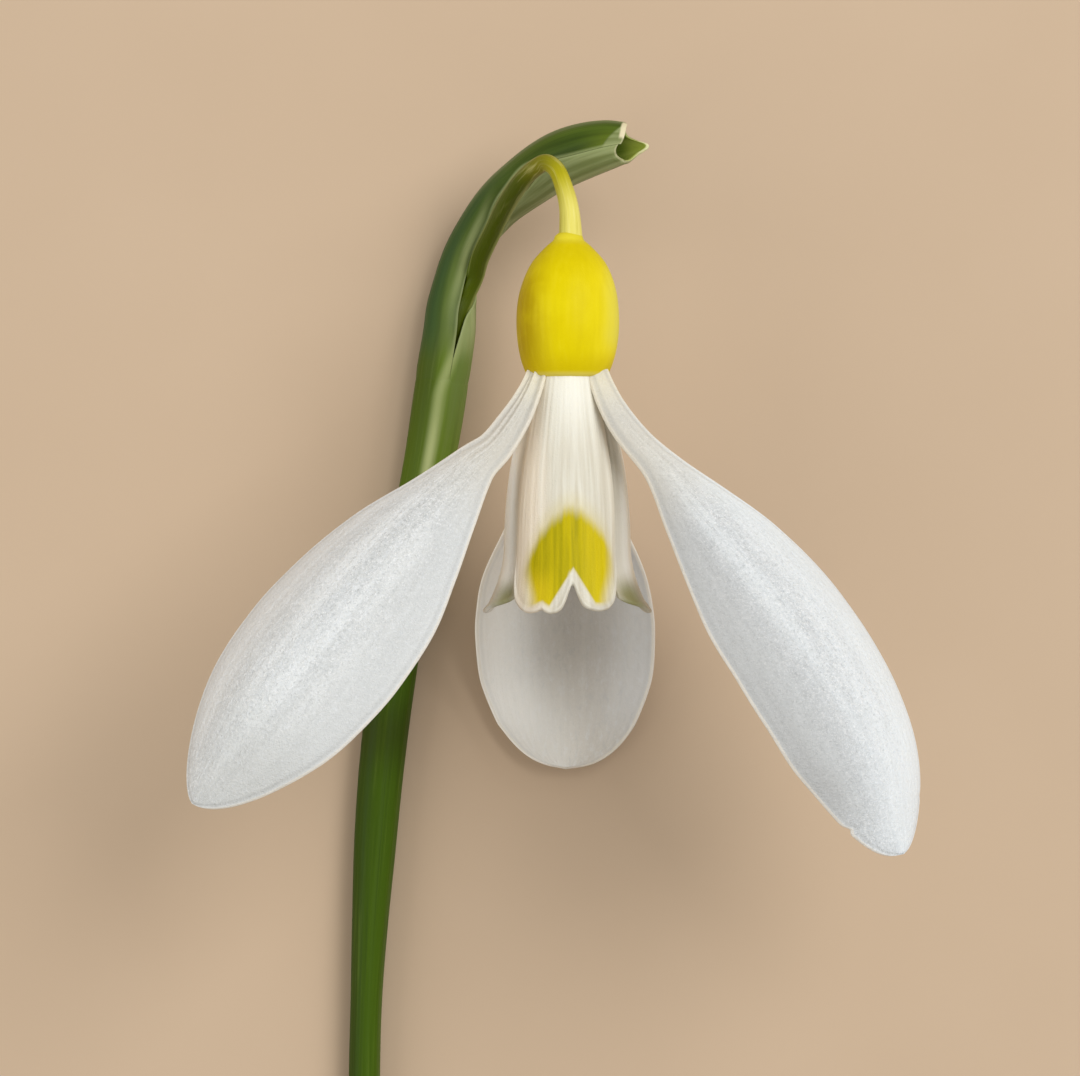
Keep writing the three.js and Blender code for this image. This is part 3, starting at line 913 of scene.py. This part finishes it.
# %% White of the cup, with its yellow mark
cup_paint = Finish("inner_petal_white")
x, y, z = cup_paint.split(cup_paint.place)
turn, down, to_end, face, flute = cup_paint.numbers("turn", "down", "to_end", "face", "flute")
strands = cup_paint.noise((turn * 14.0, down * 2.5, face), 1.0, 3.0)
grain = cup_paint.noise(cup_paint.place, 12.0, 2.0)
base = cup_paint.mix(strands.ramp(0.3, 0.7), "#cfc9b8", "#dcd8c9")
base = cup_paint.tint(
    base,
    # painted light on the cup's shaded left side and on its far left strip
    (x.ramp(-0.6, -1.9) * z.ramp(-1.0, 0.5) * 0.85, "#f8ead4"),
    (x.ramp(-2.4, -2.8), "#fffef6"),
    # painted shade in the flutes' grooves and painted light on their ridges
    (flute.ramp(0.48, 0.25) * 0.22, "#bdb299"),
    (flute.ramp(0.52, 0.75) * 0.35, "#f2efe2"),
    (down.ramp(0.4, 0.05) * x.bump_at(0.3, 2.0) * 0.7, "#f6f4e8"),
    # painted light on the side petals' strips beside the front petal
    (x.size().ramp(2.3, 3.0) * y.ramp(-11.0, -9.5) * 0.85, "#fffcf2"),
    # painted shade: greyer towards the flared tips of the side petals
    ((y - x.size() * 0.6).ramp(-12.0, -13.2) * 0.4, "#a39b8d"),
    # painted shadow on the side petals beside the front petal's edges
    (turn.size().bump_at(1.12, 0.3) * down.ramp(0.82, 0.93) * 0.85, "#8b8a52"),
)
crown = ((x + 2.2) / 4.5).curve((0, 0.0), (0.08, 0.3), (0.24, 0.72), (0.4, 0.93), (0.52, 1.0), (0.6, 0.98),
                                (0.7, 0.88), (0.83, 0.72), (0.94, 0.45), (1, 0.0))
below_top = crown * 3.3 - 10.2 - y
from_side = y.ramp(-11.6, -9.6) * 0.35 + 1.75 - (x - 0.03).size()
from_notch = y + (x - 0.28).size() * 1.6 + 10.15
margin = to_end.at_most(from_notch)
outside = z.ramp(0.5, 1.5) * face.ramp(-0.1, 0.1)  # the front petal's upper face
halo = below_top.ramp(-1.3, 0.2) * from_side.ramp(-0.75, 0.1) * margin.ramp(0.2, 0.4) * outside
base = cup_paint.tint(base, (halo * 0.5, "#cfc07c"))
mark = (below_top + (strands - 0.5) * 0.7).ramp(-0.4, 0.5) * from_side.ramp(-0.3, 0.35)
mark = mark * margin.ramp(0.34, 0.5) * outside
yellow = cup_paint.mix(strands.ramp(0.3, 0.7), "#a49800", "#bfae00")
yellow = cup_paint.tint(
    yellow,
    (x.ramp(0.3, 1.6) * 0.7, "#d4bf10"),
    (x.ramp(-0.3, -1.3) * y.ramp(-9.5, -11.0) * 0.75, "#d8bf14"),
)
base = cup_paint.mix(mark, base, yellow)
within = face.ramp(0.0, -0.2) * down.ramp(0.5, 0.8) * to_end.ramp(0.2, 0.6)
base = cup_paint.tint(base, (within * 0.7, "#aaa648"))
cup_paint.close(base, grain * 0.2 + 0.42, strands * 0.6 + grain * 0.4, 0.05, Specular_IOR_Level=0.12,
                Subsurface_Weight=0.12, Subsurface_Radius=(1.0, 0.92, 0.75), Subsurface_Scale=0.0005)

# %% Skeletons of the cup's petals
CUP_LENGTH = 12.05
CUP_HALF_WIDTH = 3.6  # of one petal, measured around the cup
CUP_TURN = 1.5  # degrees
FLARE_FROM = 0.72  # share of the cup's length
cup_share = np.linspace(0, 1, SAMPLES)
cup_across = 2 * cup_share - 1
cup_line = np.stack([0 * cup_share, -0.05 - CUP_LENGTH * cup_share, 0 * cup_share], 1)
cup_radius = along(1.8, 2.1, 2.38, 2.64, 2.87, 3.02, 3.12, 3.17, 3.2, 3.25, 3.3)(cup_share)


def slant(reach, half_width):
    """How much nearer the slanting end of a sheet is than it looks when measured straight along a strand."""
    slope = np.gradient(reach, 2 * half_width / len(reach))
    near = 1 / np.hypot(1, slope)
    window = 25  # strands over which the slant is evened out
    return np.convolve(np.pad(near, window // 2, "edge"), np.ones(window) / window, "valid")


def cup_petal(name, node, first_edge, last_edge, flare, lift, reach, **inputs):
    """first_edge and last_edge are degrees to the left of the side that faces up."""
    lip = flare * np.clip((cup_share - FLARE_FROM) / (1 - FLARE_FROM), 0, None) ** 2
    bones = skeleton(
        name, cup_line, radius=cup_radius + lip, reach=reach, lift=lift,
        slant=slant(reach * CUP_LENGTH, CUP_HALF_WIDTH),
        first_edge=np.radians(first_edge(cup_share) + CUP_TURN),
        last_edge=np.radians(last_edge(cup_share) + CUP_TURN),
        lift_share=along(0, 0.45, 0.95, 1, 1, 1, 1, 1, 1, 1, 1)(cup_share),
    )
    petal = grow(name, wrap, bones, cup_paint.material, Length=CUP_LENGTH, **inputs)
    stand_for(petal, "inner_petal_white", node)


front_lobes = profile(
    (-1, 10.2), (-0.95, 10.72), (-0.9, 11.16), (-0.82, 11.54), (-0.7, 11.8), (-0.55, 11.88), (-0.4, 11.79),
    (-0.3, 11.62), (-0.25, 11.36), (-0.2, 11.0), (-0.16, 10.7), (-0.13, 10.56), (-0.1, 10.7), (-0.06, 11.06),
    (-0.01, 11.48), (0.05, 11.8), (0.12, 11.95), (0.21, 12.0), (0.29, 11.94), (0.34, 11.82), (0.38, 11.83),
    (0.45, 11.93), (0.57, 11.98), (0.68, 11.88), (0.83, 11.54), (0.94, 11.0), (0.97, 10.7), (1, 10.2),
) / CUP_LENGTH
side_lobes = profile(
    (-1, 11.25), (-0.86, 11.5), (-0.7, 11.7), (-0.5, 12.0), (-0.25, 11.7), (0, 10.8), (0.25, 11.0),
    (0.5, 11.1), (0.75, 10.6), (1, 9.7),
) / CUP_LENGTH

# %% Cup
right_span = along(50, 52, 53, 52, 52.5)
left_span = along(50, 52, 53, 53.5, 55.5)
side_edge = along(58, 56, 55, 55, 55)
rear_edge = along(168, 173, 175, 175, 175)
cup_petal("cup_front_petal", "inner_petal_front", lambda u: -right_span(u), left_span, 0.25, 0.0,
          front_lobes, Seed=2.0)
cup_petal("cup_left_petal", "inner_petal_back_left", side_edge, rear_edge, 0.95,
          -0.5 * ease(cup_across, -0.61, -0.97), side_lobes, Seed=5.0)
cup_petal("cup_right_petal", "inner_petal_back_right", lambda u: -rear_edge(u), lambda u: -side_edge(u), 0.95,
          -0.5 * ease(cup_across, 0.61, 0.97), side_lobes[::-1], Seed=9.0)

# %% [markdown]
# ## The sheath
#
# Two green bracts grow together into a sheath around the top of the stem. It bends over like a shepherd's
# crook, is split down its front, where the flower's stalk leaves it, and ends in two tips. Between the
# bracts runs a thin, greyer skin, torn and dry at its end, so the paint needs to know which strand it is
# on. At its foot the sheath takes over the stem's green, so that the two look grown together.

# %% Green of the sheath
sheath_paint = Finish("spathe_green")
y = sheath_paint.split(sheath_paint.place)[1]
turn, down, to_end, across, face = sheath_paint.numbers("turn", "down", "to_end", "across", "face")
streaks = sheath_paint.noise((turn * 3.0, down * 2.5, face), 1.0, 4.0)
fine = sheath_paint.noise((turn * 12.0, down * 9.0, face), 1.0, 3.0)
side = turn.sine()
front = turn.cosine().ramp(-0.2, 0.1)
bract = turn.ramp(3.8, 4.5) * ((0.915 - down) / 0.042 - side).ramp(-0.1, 0.1)  # tapers to its tip
base = sheath_paint.mix(streaks.ramp(0.3, 0.7), "#354710", "#4a5f1a")
base = sheath_paint.tint(
    base,
    # painted bluish sheen on the upper bract's outer face
    (side.ramp(-0.2, -0.75) * bract * down.ramp(0.75, 0.5) * 0.6, "#33502e"),
    # painted highlight: a pale stripe beside the left lip
    (turn.bump_at(6.3, 0.55) * down.ramp(0.6, 0.25) * 0.65, "#76864c"),
    # painted highlight along the upper bract's outer top edge
    (side.ramp(-0.8, -0.98) * bract * down.ramp(0.4, 0.6) * 0.6, "#71804e"),
    (bract * down.ramp(0.84, 0.95) * side.ramp(-0.9, 0.1) * 0.6, "#768522"),
)
skin = sheath_paint.mix(streaks.ramp(0.35, 0.65), "#77814d", "#9aa371")
base = sheath_paint.mix((1 - bract) * 0.9, base, skin)
base = sheath_paint.tint(
    base,
    (turn.ramp(1.9, 0.6) * down.ramp(0.35, 0.2) * 0.5, "#a2ae72"),
    # painted sheen along the left lip
    (across.bump_at(0.88, 0.13) * down.bump_at(0.39, 0.22) * 0.66, "#a9b37a"),
    (across.size().ramp(0.95, 0.995) * 0.6, "#a3ad78"),
)
inner = sheath_paint.mix(streaks.ramp(0.3, 0.7), "#5c7414", "#7c8c28")
inner = sheath_paint.tint(
    inner,
    # painted light inside the mouth and low in the slit, where shade falls
    (down.ramp(0.9, 0.95) * 0.7, "#a9b644"),
    (down.ramp(0.4, 0.28) * 0.8, "#a8c83c"),
)
base = sheath_paint.mix(face.ramp(0.0, -0.2) * 0.85, base, inner)
torn = to_end.ramp(0.22, 0.12) * turn.ramp(4.75, 5.1) * turn.ramp(6.2, 5.95)
torn = torn * 0.95 + to_end.ramp(0.07, 0.03) * 0.3
base = sheath_paint.tint(
    base,
    (torn.at_most(0.9), "#e4d8b4"),
    (down.ramp(0.955, 0.975) * to_end.ramp(0.14, 0.06) * 0.9, "#e2dfae"),
)
joint = front * y.ramp(2.6, 0.6)
base = sheath_paint.mix(joint.at_least(y.ramp(3.0, 0.1)), base, stem_green(sheath_paint, side, y))
sheath_paint.close(base, fine * 0.15 + 0.32, streaks * 0.5 + fine * 0.5, 0.04, Specular_IOR_Level=0.12)

# %% Sheath
sheath_share = np.linspace(0, 1, SAMPLES)
sheath_path = path_above_floor([
    (-6.66, -0.9, 1.43), (-6.42, 0.6, 1.43), (-6.14, 2.4, 1.46), (-5.97, 4.1, 1.36), (-5.3, 6.6, 1.65),
    (-3.8, 8.8, 3.1), (-2.1, 10.15, 5.0), (-0.2, 11.2, 6.9), (2.1, 11.8, 8.4), (4.1, 11.88, 9.3),
], SAMPLES)
sheath_radius = along(1.42, 1.41, 1.35, 1.17, 1.13, 1.25, 1.38, 1.47, 1.48, 1.27, 0.8)(sheath_share)
sheath_radius -= 0.1 * ease(sheath_share, 0.07, 0)
left_lip = along(18, 18, 19, 24, 20, 11, -8, -24, 2, 9, 5)(sheath_share)
right_lip = np.maximum(along(19, 19, 43, 111, 98, 67, 34, 17, 2, 9, 5)(sheath_share), left_lip + 0.5)
mouth = profile(
    (-1, 0.944), (-0.94, 0.938), (-0.84, 0.936), (-0.73, 0.942), (-0.52, 0.95), (-0.35, 0.958),
    (-0.26, 0.968), (-0.21, 0.979), (-0.15, 0.988), (-0.08, 0.99), (-0.02, 0.981), (0.02, 0.961),
    (0.06, 0.941), (0.1, 0.932), (0.25, 0.932), (0.38, 0.94), (0.45, 0.948), (0.52, 0.953), (0.63, 0.956),
    (0.8, 0.958), (0.94, 0.955), (1, 0.95),
)
sheath_bones = skeleton(
    "sheath", sheath_path, radius=sheath_radius, first_edge=np.radians(right_lip),
    last_edge=np.radians(left_lip + 360), reach=mouth, lift=0.0, lift_share=0.0, slant=1.0)
sheath = grow("split_sheath", wrap, sheath_bones, sheath_paint.material, Rows=220, Length=17.0,
              Thickness=0.18, Flutes=2.5, FluteDepth=0.03, Bead=0.02, BeadWidth=0.3, Seed=3.0)
stand_for(sheath, "spathe_green", "spathe")

# %% [markdown]
# ## Stamens and style
#
# Inside the cup, six orange anthers on short threads lean together around a cream style. They repeat
# exactly, so one is grown and Geometry Nodes place the rest on a ring, a sixth of a turn apart.

# %% The stamen tree
ring = new_tree("stamen_ring", Sides=20, Rows=48, Count=6)
flesh, x, y, t = rod(ring)
place, side, up, radius = walk(ring, t, "radius")
place = place + side * (x * radius) + up * (y * radius)
one = move(ring, flesh, place)
spots = ring.node("GeometryNodePoints", sockets={"Count": ring.inputs["Count"]})
sixth = ring.node("GeometryNodeInputIndex") / ring.inputs["Count"] * (2 * math.pi)
sockets = {"Points": spots, "Instance": one, "Rotation": ring.vector(y=sixth)}
close_tree(ring, ring.node("GeometryNodeInstanceOnPoints", sockets=sockets))

# %% Stamens
anther_paint = Finish("stamen_orange")
pollen = anther_paint.noise(anther_paint.place, 9.0, 3.0)
(along_it,) = anther_paint.numbers("along")
base = anther_paint.mix(along_it.ramp(0.1, 0.25), "#efe9c9", "#d9962a")
base = anther_paint.tint(base, (pollen.ramp(0.5, 0.75) * 0.6, "#f0c05a"))
anther_paint.close(base, pollen * 0.2 + 0.5, pollen, 0.08)
stamen_path = smooth_path([
    (0.31, -0.1, 0.54), (0.51, -1.7, 0.88), (0.44, -4, 0.76), (0.26, -6.5, 0.45)], 80)
stamen_radius = along(0.11, 0.11, 0.34, 0.36, 0.3, 0.22, 0.14, 0.05)(np.linspace(0, 1, 80))
stamen_bones = skeleton("stamen", stamen_path, radius=stamen_radius)
stamens = grow("six_stamens", ring, stamen_bones, anther_paint.material)
stand_for(stamens, "stamen_orange", *(f"stamen_{i}" for i in range(1, 7)))

# %% Style
style_paint = Finish("style_cream")
grain = style_paint.noise(style_paint.place, 8.0, 3.0)
base = style_paint.mix(grain, "#dcd8a8", "#efecc8")
style_paint.close(base, grain * 0.2 + 0.45, grain, 0.05)
outline = smooth_path([(0.21, -0.1, 0), (0.2, -3, 0), (0.19, -6, 0), (0.15, -7.7, 0), (0.03, -8.3, 0)], 60)
turn = np.linspace(0, 2 * math.pi, 24, endpoint=False)
style = loft("style_needle", turned(outline[:, :1], outline[:, 1:2], turn), style_paint.material)
stand_for(style, "style_cream", "style")
